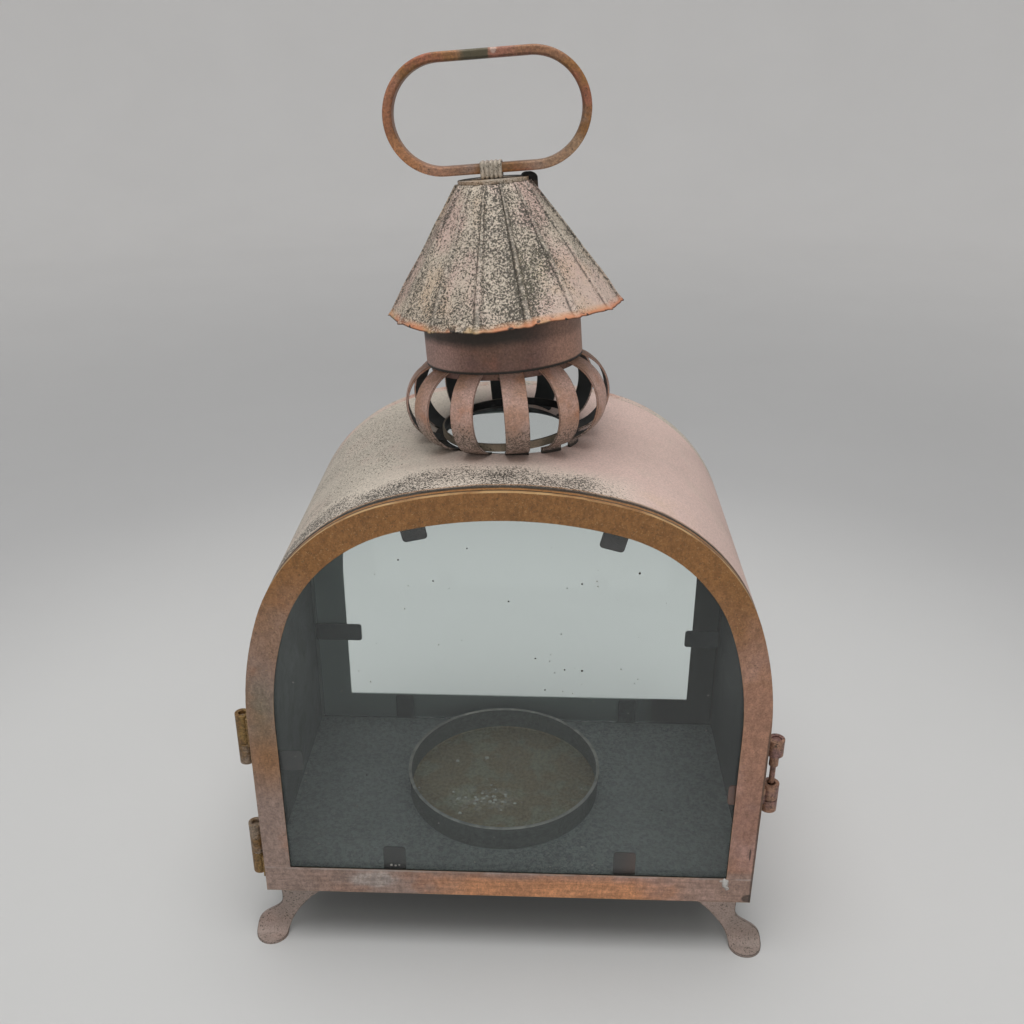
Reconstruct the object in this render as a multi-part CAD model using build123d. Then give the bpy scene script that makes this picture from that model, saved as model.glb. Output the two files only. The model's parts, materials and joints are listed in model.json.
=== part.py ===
"""Arched sheet-metal candle lantern with a glazed door, a caged chimney and a fluted roof.

Millimetres. The origin is on the ground, under the middle of the case: +X is to the right of
somebody who faces the door, +Y goes from the door to the back and +Z is up.
"""

import os
from math import cos, pi, radians, sin, sqrt

from build123d import *

# Sheet, clearances and panes
sheet = 0.8
glass_thickness = 2.0
glass_margin = 0.4

# Case: width and depth over everything, height of the floor, and the arch in three arcs a side
case_width = 203.0
case_depth = 125.0
foot_height = 29.0
floor_rise = 3.5
spring_height = 84.4
haunch_radius = 149.0
haunch_angle = 19.1
shoulder_radius = 73.1
shoulder_angle = 55.8

# Door: an angle-section frame that closes against the front edge of the case
door_rim_depth = 5.0
door_gap = 0.6
door_stile_width = 10.9
door_rail_height = 12.7
door_corner_radius = 0.5

# Back: a frame of the same kind, soldered to the back edge of the case
back_rim_depth = 5.6
back_stile_width = 14.8
back_rail_height = 15.4
back_window_shift = 1.2

# Tabs that hold the panes: how far they reach in from the rim, and where they are
tab_width = 9.2
tab_corner_radius = 1.4
tab_sheet = 0.6
tab_gap = 0.15
door_top_tab_reaches = (15.9, 17.4)
door_left_tab_reach = 19.2
door_right_tab_reach = 12.6
door_bottom_tab_reach = 22.0
back_top_tab_reach = 18.5
back_side_tab_reaches = (22.9, 16.6)
door_top_tab_angles = (-12.8, 14.5)
door_bottom_tab_places = (-47.0, 48.5)
door_left_tab_height = 66.0
door_right_tab_height = 54.0
back_top_tab_angles = (-12.0, 12.0)
back_bottom_tab_places = (-57.5, 57.5)
back_side_tab_height = 53.5

# Candle cup, a little off the middle of the floor
cup_radius = 44.2
cup_height = 11.7
cup_hem_height = 1.5
cup_hem_thickness = 1.4
cup_place_x = -4.0
cup_place_y = 6.3

# Chimney: it leans a little to the left and back, and its sizes are measured along its own axis.
# The ring under it leans to the left only.
chimney_lean = 4.5
chimney_back_lean = 3.8
chimney_place_x = -1.2
ring_radius = 26.8
ring_lift = 1.2
ring_height = 3.0
hole_lip_depth = 1.6
strip_count = 12
strip_width = 9.0
strip_turn = 7.0
bulge_radius = 40.2
bulge_height = 14.4
bulge_arc_radius = 16.2
band_radius = 28.7
band_show = 2.6
band_grip = 9.0
collar_gap = 0.4
collar_drop = 19.3

# Roof: a fluted cone with a flat plate on it; the shifts say how far its rim and its top are to the
# right of the chimney's axis
roof_rim_shift = 1.9
roof_top_shift = 0.7
roof_rim_radius = 44.4
roof_top_radius = 12.5
roof_rise = 45.9
flute_count = 15
flute_turn = 19.1
rib_base_width = 3.6
rib_crest_width = 1.8
rib_height = 0.9
plate_thickness = 1.2
plate_overhang = 0.4

# Handle, its staple and the lug on the plate's edge
handle_shift = 0.45
handle_width = 75.5
handle_height = 42.2
handle_lift = 1.0
bar_thickness = 3.4
bar_depth = 8.0
bar_edge_radius = 0.9
staple_width = 8.0
staple_sheet = 1.0
lug_width = 5.8
lug_depth = 6.0
lug_gap = 0.7
lug_drop = 4.6
lug_corner_radius = 2.2
lug_middle_radius = 13.3
lug_turn = 8.0

# Feet: one sheet each, with a web along the case, a neck, and a pad that turns out to the ground.
# The turns of its outline are given by how far in from the case's side and how high they are.
foot_sheet = 1.2
web_length = 36.0
web_taper = 0.20
foot_inset = 3.8
foot_outer_turn = (3.0, 15.0)
foot_inner_turn = (12.6, 14.5)
web_turn = (17.0, 19.6)
neck_slope = 0.25
foot_bend_radius = 4.6
pad_radius = 6.9
pad_splay = 1.0
pad_flat = 4.0

# Hinges on the left, with heights from the bottom of the case
knuckle_radius = 2.9
knuckle_gap = 0.35
leaf_sheet = 0.8
case_leaf_depth = 9.0
door_leaf_margin = 0.7
pin_radius = 1.5
pin_clearance = 0.06
pin_recess = 1.6
stack_gap = 0.4
upper_hinge_heights = (63.5, 73.3, 86.6)
lower_hinge_heights = (6.8, 17.0, 31.9)

# Latch on the right: a peg in the upper loop, whose wire drops into the loop on the door
loop_radius = 3.3
peg_radius = 1.85
peg_clearance = 0.08
wire_radius = 1.15
wire_bore_clearance = 0.6
upper_loop_heights = (72.8, 80.0)
door_loop_heights = (51.6, 58.6)
lower_loop_heights = (45.9, 51.2)
peg_top_recess = 0.6
peg_drop = 5.3
wire_tip_gap = 0.4

# Places that follow from those sizes
half_width = case_width / 2
front = -case_depth / 2
back = case_depth / 2
case_front = front + door_rim_depth + door_gap
case_back = back - back_rim_depth
base = foot_height
spring = base + spring_height
arch_turn = haunch_angle + shoulder_angle
haunch_x = half_width - haunch_radius
shoulder_x = haunch_x + (haunch_radius - shoulder_radius) * cos(radians(haunch_angle))
shoulder_z = spring + (haunch_radius - shoulder_radius) * sin(radians(haunch_angle))
crown_radius = shoulder_radius + shoulder_x / cos(radians(arch_turn))
crown_z = shoulder_z + (shoulder_radius - crown_radius) * sin(radians(arch_turn))
crown = crown_z + crown_radius
floor_top = base + floor_rise
bulge_run = band_radius + sheet - (bulge_radius - bulge_arc_radius)
collar_bottom = bulge_height + sqrt(bulge_arc_radius**2 - bulge_run**2) + collar_gap
band_bottom = collar_bottom - band_show
band_top = collar_bottom + band_grip
roof_rim_height = collar_bottom + collar_drop
roof_top_height = roof_rim_height + roof_rise
roof_slope = (roof_rim_radius - roof_top_radius) / (roof_top_height - roof_rim_height)
plate_top = roof_top_height + plate_thickness
chimney_place = Location((chimney_place_x, 0, crown), (-chimney_back_lean, -chimney_lean, 0))
ring_place = Location((chimney_place_x, 0, crown), (0, -chimney_lean, 0))
handle_place = chimney_place * Pos(handle_shift, 0, 0)


# Shared shapes

def arch_area(inset, bottom):
    """Area inside the arch outline moved in by inset, closed by a level line at bottom."""
    half = half_width - inset
    arcs = [
        CenterArc((haunch_x, spring), haunch_radius - inset, 0, haunch_angle),
        CenterArc((shoulder_x, shoulder_z), shoulder_radius - inset, haunch_angle, shoulder_angle),
        CenterArc((0, crown_z), crown_radius - inset, arch_turn, 180 - 2 * arch_turn),
        CenterArc((-shoulder_x, shoulder_z), shoulder_radius - inset, 180 - arch_turn, shoulder_angle),
        CenterArc((-haunch_x, spring), haunch_radius - inset, 180 - haunch_angle, haunch_angle),
    ]
    sides = [
        Line((-half, bottom), (half, bottom)),
        Line((half, bottom), (half, spring)),
        Line((-half, spring), (-half, bottom)),
    ]
    return make_face(sides + arcs)


def slab(area, near, far):
    """Solid with the given outline across the case, from near to far along Y."""
    return extrude(Plane.XZ.offset(-far) * area, amount=far - near)


def upright(radius, bottom, top, x=0.0, y=0.0):
    """Vertical cylinder between two heights."""
    return Pos(x, y, bottom) * Cylinder(radius, top - bottom, align=(Align.CENTER, Align.CENTER, Align.MIN))


def tube(outer, inner, bottom, top, x=0.0, y=0.0):
    """Vertical tube between two heights."""
    return upright(outer, bottom, top, x, y) - upright(inner, bottom, top, x, y)


def block(x_span, y_span, z_span):
    """Box between two values along each axis."""
    size = [high - low for low, high in (x_span, y_span, z_span)]
    corner = [low for low, high in (x_span, y_span, z_span)]
    return Pos(*corner) * Box(*size, align=(Align.MIN, Align.MIN, Align.MIN))


def pane_frame(face_near, face_far, rim_near, rim_far, stile_width, rail_height, corner_radius, shift):
    """Angle-section frame: a face with an arched window, shifted along X, and a rim around its edge."""
    window = Pos(shift, 0) * arch_area(stile_width, base + rail_height)
    if corner_radius > 0:
        corners = window.vertices().sort_by(Axis.Y)[:2]
        window = fillet(corners, corner_radius)
    face = slab(arch_area(0, base), face_near, face_far) - slab(window, face_near, face_far)
    rim = slab(arch_area(0, base), rim_near, rim_far)
    rim -= slab(arch_area(sheet, base + sheet), rim_near, rim_far)
    return face + rim


def pane(near, far):
    """Pane of glass that lies inside a frame's rim."""
    inset = sheet + glass_margin
    return slab(arch_area(inset, base + inset), near, far)


def tab_area(reach):
    """Outline of one tab that comes in from the rim along -Y and ends at reach."""
    outline = Pos(0, (tab_width - reach) / 2) * Rectangle(tab_width, reach + tab_width)
    return fillet(outline.vertices().sort_by(Axis.Y)[:2], tab_corner_radius)


def crown_tab(angle, reach):
    """Tab under the crown, at an angle to the right of the middle."""
    return Pos(0, crown_z) * Rot(0, 0, -angle) * Pos(0, crown_radius - sheet) * tab_area(reach)


def bottom_tab(x, reach):
    """Tab that stands on the bottom of the rim."""
    return Pos(x, base + sheet) * Rot(0, 0, 180) * tab_area(reach)


def side_tab(side, height, reach):
    """Tab on the left (-1) or right (1) side of the rim."""
    return Pos(side * (half_width - sheet), base + height) * Rot(0, 0, -90 * side) * tab_area(reach)


def tab_set(areas, near, far):
    """All tabs of one frame, cut to the inside of its rim."""
    inside = arch_area(sheet, base + sheet)
    return Compound([slab(area & inside, near, far).solid() for area in areas])


# Case

def make_body_shell():
    shell = slab(arch_area(0, base), case_front, case_back)
    shell -= slab(arch_area(sheet, base - sheet), case_front, case_back)
    hole_radius = ring_radius - sheet
    hole = upright(hole_radius, crown - shoulder_radius, crown + sheet, chimney_place_x)
    lip = tube(ring_radius, hole_radius, crown - hole_lip_depth, crown + sheet, chimney_place_x)
    return shell - hole + (lip & under_crown())


def make_floor_plate():
    half = half_width - sheet
    plate = block((-half, half), (case_front, case_back), (base, floor_top))
    inside_half = half - sheet
    inside = block(
        (-inside_half, inside_half),
        (case_front + sheet, case_back - sheet),
        (base, floor_top - sheet),
    )
    return plate - inside


def make_back_frame():
    return pane_frame(
        back - sheet, back, case_back, back, back_stile_width, back_rail_height, 0, back_window_shift
    )


def make_back_glass():
    return pane(back - sheet - glass_thickness, back - sheet)


def make_back_glass_tabs():
    areas = [crown_tab(angle, back_top_tab_reach) for angle in back_top_tab_angles]
    areas += [bottom_tab(x, back_rail_height) for x in back_bottom_tab_places]
    side_tabs = zip((-1, 1), back_side_tab_reaches)
    areas += [side_tab(side, back_side_tab_height, reach) for side, reach in side_tabs]
    behind = back - sheet - glass_thickness - tab_gap
    return tab_set(areas, behind - tab_sheet, behind)


def make_candle_cup():
    wall = tube(cup_radius, cup_radius - sheet, floor_top, floor_top + cup_height, cup_place_x, cup_place_y)
    bottom = upright(cup_radius, floor_top, floor_top + sheet, cup_place_x, cup_place_y)
    hem_outer = cup_radius + cup_hem_thickness - sheet
    hem_bottom = floor_top + cup_height - cup_hem_height
    hem = tube(hem_outer, cup_radius - sheet, hem_bottom, floor_top + cup_height, cup_place_x, cup_place_y)
    return wall + bottom + hem


# Chimney

def under_crown():
    """Everything inside the vault, used to end pieces on its outside."""
    return slab(arch_area(0, base), front, back)


def make_cage_bottom_ring():
    """Ring over the hole; the strips stand round it."""
    ring = tube(ring_radius, ring_radius - sheet, ring_lift, ring_lift + ring_height)
    return ring_place * ring - under_crown() - chimney_place * strip_shell()


def make_cage_top_band():
    return chimney_place * tube(band_radius, band_radius - sheet, band_bottom, band_top)


def bulge_crossing(arc_radius, radius, side):
    """Height at which the bulge arc meets a vertical line at radius, above (1) or below (-1) it."""
    run = radius - (bulge_radius - bulge_arc_radius)
    return bulge_height + side * sqrt(arc_radius**2 - run**2)


def strip_shell():
    """All strips as one turned skin: outside the ring, bulged, and outside the top band."""
    centre_x = bulge_radius - bulge_arc_radius
    low = -ring_radius
    outer_arc = bulge_arc_radius
    inner_arc = bulge_arc_radius - sheet
    outer_low = (ring_radius + sheet, bulge_crossing(outer_arc, ring_radius + sheet, -1))
    outer_high = (band_radius + sheet, bulge_crossing(outer_arc, band_radius + sheet, 1))
    inner_low = (ring_radius, bulge_crossing(inner_arc, ring_radius, -1))
    inner_high = (band_radius, bulge_crossing(inner_arc, band_radius, 1))
    outline = [
        Line((ring_radius, low), (ring_radius + sheet, low)),
        Line((ring_radius + sheet, low), outer_low),
        ThreePointArc(outer_low, (centre_x + outer_arc, bulge_height), outer_high),
        Line(outer_high, (band_radius + sheet, band_top)),
        Line((band_radius + sheet, band_top), (band_radius, band_top)),
        Line((band_radius, band_top), inner_high),
        ThreePointArc(inner_high, (centre_x + inner_arc, bulge_height), inner_low),
        Line(inner_low, (ring_radius, low)),
    ]
    return revolve(Plane.XZ * make_face(outline), Axis.Z)


def make_cage_strips():
    """The strips in order, from the one nearest the front round to the right."""
    skin = strip_shell()
    below = under_crown()
    strips = []
    for number in range(strip_count):
        turn = strip_turn + number * 360 / strip_count
        reach = bulge_radius + sheet
        cutter = block((-strip_width / 2, strip_width / 2), (-reach, 0), (-reach, band_top + sheet))
        strip = skin & (Rot(0, 0, turn) * cutter)
        strips.append(chimney_place * strip - below)
    return strips


def roof_radius(height):
    return roof_rim_radius - (height - roof_rim_height) * roof_slope


def roof_middle(height):
    """How far the middle of the roof is from the chimney's axis."""
    return roof_rim_shift + (height - roof_rim_height) / roof_rise * (roof_top_shift - roof_rim_shift)


def fluted_area(height, inset):
    """Level section of the roof: flat gores between raised ribs, all moved in by inset."""
    share = roof_radius(height) / roof_rim_radius
    radius = roof_radius(height) - inset
    points = []
    for number in range(flute_count):
        middle = radians(flute_turn) + number * 2 * pi / flute_count
        for width, rise in (
            (-rib_base_width, 0),
            (-rib_crest_width, rib_height),
            (rib_crest_width, rib_height),
            (rib_base_width, 0),
        ):
            angle = middle + width / 2 / roof_rim_radius
            distance = radius + rise * share
            points.append((distance * cos(angle), distance * sin(angle)))
    return Pos(roof_middle(height), 0, height) * make_face(Polyline(*points, close=True))


def roof_body(inset, overrun):
    """Solid fluted cone; overrun carries it past its two ends."""
    low = roof_rim_height - overrun
    high = roof_top_height + overrun
    return loft([fluted_area(low, inset), fluted_area(high, inset)], ruled=True)


def roof_inside():
    return roof_body(sheet * sqrt(1 + roof_slope**2), sheet)


def make_roof_cone():
    return chimney_place * (roof_body(0, 0) - roof_inside())


def make_chimney_collar():
    inner = band_radius + sheet
    outer = inner + sheet
    neck = tube(outer, inner, collar_bottom, roof_rim_height)
    top = tube(outer, inner, roof_rim_height, roof_top_height) & roof_inside()
    return chimney_place * (neck + top)


def top_plate():
    """Disc that closes the top of the roof, a little wider than its ribs."""
    rib_reach = roof_top_radius + rib_height * roof_top_radius / roof_rim_radius
    return upright(rib_reach + plate_overhang, roof_top_height, plate_top, roof_top_shift)


def make_roof_top_plate():
    return chimney_place * top_plate()


# Handle

def handle_bottom():
    return plate_top + staple_sheet + handle_lift


def make_handle():
    middle = handle_bottom() + handle_height / 2
    outside = Pos(0, middle) * SlotOverall(handle_width, handle_height)
    inside_width = handle_width - 2 * bar_thickness
    inside_height = handle_height - 2 * bar_thickness
    inside = Pos(0, middle) * SlotOverall(inside_width, inside_height)
    loop = slab(outside - inside, -bar_depth / 2, bar_depth / 2)
    ends = loop.faces().filter_by(Axis.Y)
    return handle_place * fillet(ends.edges(), bar_edge_radius)


def make_handle_staple():
    half_x = staple_width / 2
    half_y = bar_depth / 2
    bar_bottom = handle_bottom()
    bar_top = bar_bottom + bar_thickness
    outside = block(
        (-half_x, half_x),
        (-half_y - staple_sheet, half_y + staple_sheet),
        (plate_top, bar_top + staple_sheet),
    )
    hole = block((-half_x, half_x), (-half_y, half_y), (bar_bottom, bar_top))
    return handle_place * (outside - hole)


def make_roof_lug():
    """Dark block that sits on the plate's edge, on the right, and hangs down beside the roof."""
    low = roof_top_height - lug_drop
    high = handle_bottom() - lug_gap
    outline = Pos(lug_middle_radius, (low + high) / 2) * Rectangle(lug_width, high - low)
    outline = fillet(outline.vertices().sort_by(Axis.Y)[2:], lug_corner_radius)
    lug = Pos(roof_top_shift, 0, 0) * Rot(0, 0, lug_turn) * slab(outline, -lug_depth / 2, lug_depth / 2)
    lug -= roof_body(0, 0) + top_plate()
    return chimney_place * lug.solids().sort_by(SortBy.VOLUME)[-1]


# Feet

def foot_profile():
    """Side view of the bent sheet: down behind the floor's lip, round, and out along the ground."""
    near = case_front + sheet
    top = floor_top - sheet
    bend_y = near - foot_bend_radius
    bend_z = foot_bend_radius + foot_sheet
    toe = bend_y - pad_flat
    outer = foot_bend_radius + foot_sheet
    outline = [
        Line((near, top), (near, bend_z)),
        CenterArc((bend_y, bend_z), foot_bend_radius, -90, 90),
        Line((bend_y, foot_sheet), (toe, foot_sheet)),
        Line((toe, foot_sheet), (toe, 0)),
        Line((toe, 0), (bend_y, 0)),
        CenterArc((bend_y, bend_z), outer, -90, 90),
        Line((near + foot_sheet, bend_z), (near + foot_sheet, top)),
        Line((near + foot_sheet, top), (near, top)),
    ]
    return make_face(outline)


def foot_front_area():
    """Front view of a left foot: a web that narrows to a slanting neck, and the pad further out."""
    side = -half_width
    top = floor_top - sheet
    web_x = side + foot_inset + web_length
    pad_x = side - pad_splay
    pad_z = foot_sheet
    outer = (side + foot_outer_turn[0], foot_outer_turn[1])
    inner = (side + foot_inner_turn[0], foot_inner_turn[1])
    web = (side + web_turn[0], web_turn[1])
    pad_end = (pad_x + pad_radius, pad_z)
    outline = [
        Line((web_x, top), (side + foot_inset, top)),
        Line((side + foot_inset, top), (side + foot_inset, base)),
        Spline((side + foot_inset, base), outer, (pad_x - pad_radius, pad_z), tangents=[(0, -1), (0, -1)]),
        Line((pad_x - pad_radius, pad_z), (pad_x - pad_radius, 0)),
        Line((pad_x - pad_radius, 0), (pad_x + pad_radius, 0)),
        Line((pad_x + pad_radius, 0), pad_end),
        Spline(pad_end, inner, web, (web_x, base), tangents=[(neck_slope, 1), (1, web_taper)]),
        Line((web_x, base), (web_x, top)),
    ]
    return make_face(outline)


def make_front_left_foot():
    far = case_front + sheet + foot_sheet
    bend_y = case_front + sheet - foot_bend_radius
    toe = bend_y - pad_flat
    width = case_width
    bent = Pos(-width, 0, 0) * extrude(Plane.YZ * foot_profile(), amount=width)
    front_view = slab(foot_front_area(), toe, far)
    pad_x = -half_width - pad_splay
    pad_y = toe + pad_radius
    web_plan = block((-width, 0), (pad_y, far), (0, floor_top))
    pad_plan = upright(pad_radius, 0, floor_top, pad_x, pad_y)
    return bent & front_view & (web_plan + pad_plan)


def make_feet():
    front_left = make_front_left_foot()
    back_left = mirror(front_left, Plane.XZ)
    back_left = Pos(0, case_front + case_back, 0) * back_left
    return {
        "foot_front_left": front_left,
        "foot_front_right": mirror(front_left, Plane.YZ),
        "foot_back_left": back_left,
        "foot_back_right": mirror(back_left, Plane.YZ),
    }


# Hinges and latch

def axis_place(side, radius):
    """Place of the knuckles: outside the case wall, level with the joint between door and case."""
    return side * (half_width + knuckle_gap + radius), front + door_rim_depth + door_gap / 2


def rolled_leaf(side, radius, bore, bottom, top, y_span):
    """Rolled loop with a leaf that lies flat on the side of the case or of the door."""
    x, y = axis_place(side, radius)
    wall = side * half_width
    leaf = block(sorted((wall, wall + side * leaf_sheet)), y_span, (bottom, top))
    loop = tube(radius, bore, bottom, top, x, y)
    near_wall = upright(bore, bottom, top, x, y)
    return leaf + loop - near_wall


def case_leaf(side, radius, bore, bottom, top):
    y_span = (case_front, case_front + case_leaf_depth)
    return rolled_leaf(side, radius, bore, base + bottom, base + top, y_span)


def door_leaf(side, radius, bore, bottom, top):
    y_span = (front + door_leaf_margin, front + door_rim_depth)
    return rolled_leaf(side, radius, bore, base + bottom, base + top, y_span)


def make_hinges():
    bore = pin_radius + pin_clearance
    x, y = axis_place(-1, knuckle_radius)
    half_gap = stack_gap / 2
    low, split, high = upper_hinge_heights
    pieces = {
        "hinge_upper_case_leaf": case_leaf(-1, knuckle_radius, bore, low, split - half_gap),
        "hinge_upper_door_leaf": door_leaf(-1, knuckle_radius, bore, split + half_gap, high),
        "hinge_upper_pin": upright(pin_radius, base + low, base + high - pin_recess, x, y),
    }
    low, split, high = lower_hinge_heights
    pieces["hinge_lower_door_leaf"] = door_leaf(-1, knuckle_radius, bore, low, split - half_gap)
    pieces["hinge_lower_case_leaf"] = case_leaf(-1, knuckle_radius, bore, split + half_gap, high)
    pieces["hinge_lower_pin"] = upright(pin_radius, base + low, base + high - pin_recess, x, y)
    return pieces


def make_latch():
    peg_bore = peg_radius + peg_clearance
    wire_bore = wire_radius + wire_bore_clearance
    x, y = axis_place(1, loop_radius)
    peg_top = base + upper_loop_heights[1] - peg_top_recess
    peg_bottom = base + upper_loop_heights[0] - peg_drop
    tip = base + door_loop_heights[1] + wire_tip_gap
    pin = upright(peg_radius, peg_bottom, peg_top, x, y) + upright(wire_radius, tip, peg_bottom, x, y)
    return {
        "latch_upper_loop": case_leaf(1, loop_radius, peg_bore, *upper_loop_heights),
        "latch_door_loop": door_leaf(1, loop_radius, wire_bore, *door_loop_heights),
        "latch_lower_loop": case_leaf(1, loop_radius, wire_bore, *lower_loop_heights),
        "latch_pin": pin,
    }


# Door

def make_door_frame():
    rim_far = front + door_rim_depth
    return pane_frame(
        front, front + sheet, front, rim_far, door_stile_width, door_rail_height, door_corner_radius, 0
    )


def make_door_glass():
    return pane(front + sheet, front + sheet + glass_thickness)


def make_door_glass_tabs():
    top_tabs = zip(door_top_tab_angles, door_top_tab_reaches)
    areas = [crown_tab(angle, reach) for angle, reach in top_tabs]
    areas += [bottom_tab(x, door_bottom_tab_reach) for x in door_bottom_tab_places]
    areas.append(side_tab(-1, door_left_tab_height, door_left_tab_reach))
    areas.append(side_tab(1, door_right_tab_height, door_right_tab_reach))
    behind = front + sheet + glass_thickness + tab_gap
    return tab_set(areas, behind, behind + tab_sheet)


def make_parts():
    parts = {
        "body_shell": make_body_shell(),
        "floor_plate": make_floor_plate(),
        "back_frame": make_back_frame(),
        "back_glass": make_back_glass(),
        "back_glass_tabs": make_back_glass_tabs(),
        "candle_cup": make_candle_cup(),
        "cage_bottom_ring": make_cage_bottom_ring(),
        "cage_top_band": make_cage_top_band(),
        "chimney_collar": make_chimney_collar(),
        "roof_cone": make_roof_cone(),
        "roof_top_plate": make_roof_top_plate(),
        "roof_lug": make_roof_lug(),
        "handle": make_handle(),
        "handle_staple": make_handle_staple(),
        "door_frame": make_door_frame(),
        "door_glass": make_door_glass(),
        "door_glass_tabs": make_door_glass_tabs(),
    }
    for number, strip in enumerate(make_cage_strips(), start=1):
        parts[f"cage_strip_{number:02d}"] = strip
    parts.update(make_feet())
    parts.update(make_hinges())
    parts.update(make_latch())
    return parts


os.makedirs("parts", exist_ok=True)
for name, shape in make_parts().items():
    export_step(shape, f"parts/{name}.step")
print(f"crown {crown:.2f}, crown radius {crown_radius:.2f}, hinge axis {axis_place(-1, knuckle_radius)}")
print(f"latch axis {axis_place(1, loop_radius)}, handle from {handle_bottom():.2f} up the chimney")
print(f"collar bottom {collar_bottom:.2f}, roof rim {roof_rim_height:.2f}, roof top {roof_top_height:.2f}")
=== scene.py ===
"""Looks of the arched candle lantern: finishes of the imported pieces, small trim, stage and camera."""

import copy
import functools
import itertools
import json
import math
import random

import bpy
from mathutils import Euler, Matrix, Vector, noise


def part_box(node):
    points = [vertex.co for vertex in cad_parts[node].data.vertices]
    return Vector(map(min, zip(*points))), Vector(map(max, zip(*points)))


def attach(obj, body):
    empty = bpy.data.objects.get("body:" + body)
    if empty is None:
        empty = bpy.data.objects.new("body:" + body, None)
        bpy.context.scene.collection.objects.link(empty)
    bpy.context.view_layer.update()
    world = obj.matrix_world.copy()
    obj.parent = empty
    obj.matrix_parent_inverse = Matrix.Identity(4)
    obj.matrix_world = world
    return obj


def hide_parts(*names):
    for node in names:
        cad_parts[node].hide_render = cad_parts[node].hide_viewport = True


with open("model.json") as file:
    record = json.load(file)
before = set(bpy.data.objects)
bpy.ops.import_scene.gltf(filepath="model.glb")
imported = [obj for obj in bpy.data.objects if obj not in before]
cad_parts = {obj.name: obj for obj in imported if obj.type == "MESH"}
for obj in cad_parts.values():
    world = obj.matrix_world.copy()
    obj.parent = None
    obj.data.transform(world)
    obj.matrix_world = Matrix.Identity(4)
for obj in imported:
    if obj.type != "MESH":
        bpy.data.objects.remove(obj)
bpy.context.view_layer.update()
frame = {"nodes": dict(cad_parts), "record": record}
nodes = frame["nodes"]

# Camera: where the photograph was taken from, in metres and degrees
CAMERA_PLACE = (0.01258, -0.40584, 0.36737)
CAMERA_PITCH = 25.0
CAMERA_YAW = 1.84
CAMERA_ROLL = 0.19
CAMERA_LENS = 38.0
CAMERA_SENSOR = 36.0
CAMERA_NEAREST = 0.01

# Lights: places and sizes in metres, power in watts
LIT_MIDDLE = (0.0, 0.0, 0.15)
KEY_PLACE = (-0.05, -0.16, 1.45)
KEY_SIZE = 1.1
KEY_POWER = 12.6
FILL_PLACE = (0.15, -1.2, 0.75)
FILL_SIZE = 0.9
FILL_POWER = 1.75
WORLD_STRENGTH = 0.35

# Stage: a round floor that bends up into a wall, in metres, and how finely it is divided
STAGE_FLAT = 1.5
STAGE_BEND = 0.6
STAGE_WALL = 1.6
STAGE_SIDES = 96
STAGE_STEPS = 12

# Weights of distances from an upright axis, and from one along the depth
ROUND_Z = (1, 1, 0)
ROUND_Y = (1, 0, 1)

# Places on the lantern that finishes refer to
DOOR_FACE = -0.0625
VAULT_AXIS = (0.0, 0.0, 0.11)
WINDOW_MIDDLE = (0.0, -0.06, 0.11)
CHIMNEY_AXIS = (-0.004, 0.0015, 0.25)
CROWN_AXIS = (0.0, 0.0, 0.04847)
CROWN_RADIUS = 0.16608
CUP_MIDDLE = (-0.004, 0.0063, 0.0)
CUP_RADIUS = 0.0442
CUP_FLOOR = 0.0333
HANDLE_MIDDLE = (-0.0101, 0.0079, 0.3335)

# Own directions of the chimney, which leans as one with the roof and the handle
seat = next(mount for mount in frame["record"]["mounts"] if mount["name"] == "handle_hook_seat")
RIGHT = Vector((1, 0, 0))
UP = -Vector(seat["axis"]).normalized()
ACROSS = (RIGHT - UP * UP.x).normalized()
BACK = UP.cross(ACROSS)
FRONT = Vector((0, -1, 0))
SKY = Vector((0, 0, 1))

# Roof sheet, in metres, degrees and shares of a panel
FLUTES = 15
FLUTE_TURN = 19.1
FLUTE_RISE = 0.0012
FLUTE_FOOT = 0.12
FLUTE_CREST = 0.03
FLUTE_WOBBLE = 0.005
PANEL_SAG = 0.0004
ROOF_SHEET = 0.0009
RIM_CURL = 0.0003
RIM_WAVE = 0.0003
FLUTE_DIP = 0.0002
RIM_LIFT = 0.0006
PANEL_DENT = 0.0005

# Bent places of the rim: degrees round it and metres that it hangs down there
RIM_DROOPS = ((-112.0, 0.0018), (-8.0, 0.0007))
DROOP_NARROWNESS = 0.72
DROOP_REACH = 0.35

# Points of the roof sheet: shares of a panel away from its flute, and shares of the rise from the rim
ROOF_COLUMNS = (0.0, 0.02, 0.035, 0.055, 0.08, 0.11, 0.14, 0.2, 0.3, 0.4)
ROOF_ROWS = (0.0, 0.012, 0.03, 0.06, 0.1, 0.16, 0.24, 0.34, 0.46, 0.58, 0.7, 0.82, 0.92, 1.0)

# Door's arched window, in metres
WINDOW_SPRING = 0.112
WINDOW_HALF = 0.086
WINDOW_RISE = 0.084

# Dark dots and crumbs on the door's pane: across, height and radius, in metres
PANE_DOTS = (
    (0.0476, 0.1833, 0.00045), (0.027, 0.1785, 0.00035), (0.0215, 0.1416, 0.00035),
    (0.0281, 0.1413, 0.00045), (0.0105, 0.1464, 0.00034), (0.0004, 0.1707, 0.00036),
    (-0.0271, 0.1786, 0.00032), (-0.0395, 0.187, 0.00034), (0.0143, 0.1324, 0.00032),
    (0.062, 0.076, 0.00034), (-0.056, 0.09, 0.00032),
)
PANE_CRUMBS = ((-0.0482, 0.0436, 0.0006), (-0.0465, 0.0434, 0.0005), (-0.045, 0.0437, 0.0004))

# Solder on the door: across, height, half width, half height and thickness, in metres
SOLDER_DROPS = (
    (0.0902, 0.0392, 0.0016, 0.0026, 0.0006),
    (0.0912, 0.0365, 0.0009, 0.0012, 0.0004),
    (0.0886, 0.0402, 0.001, 0.0006, 0.0003),
)

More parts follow.
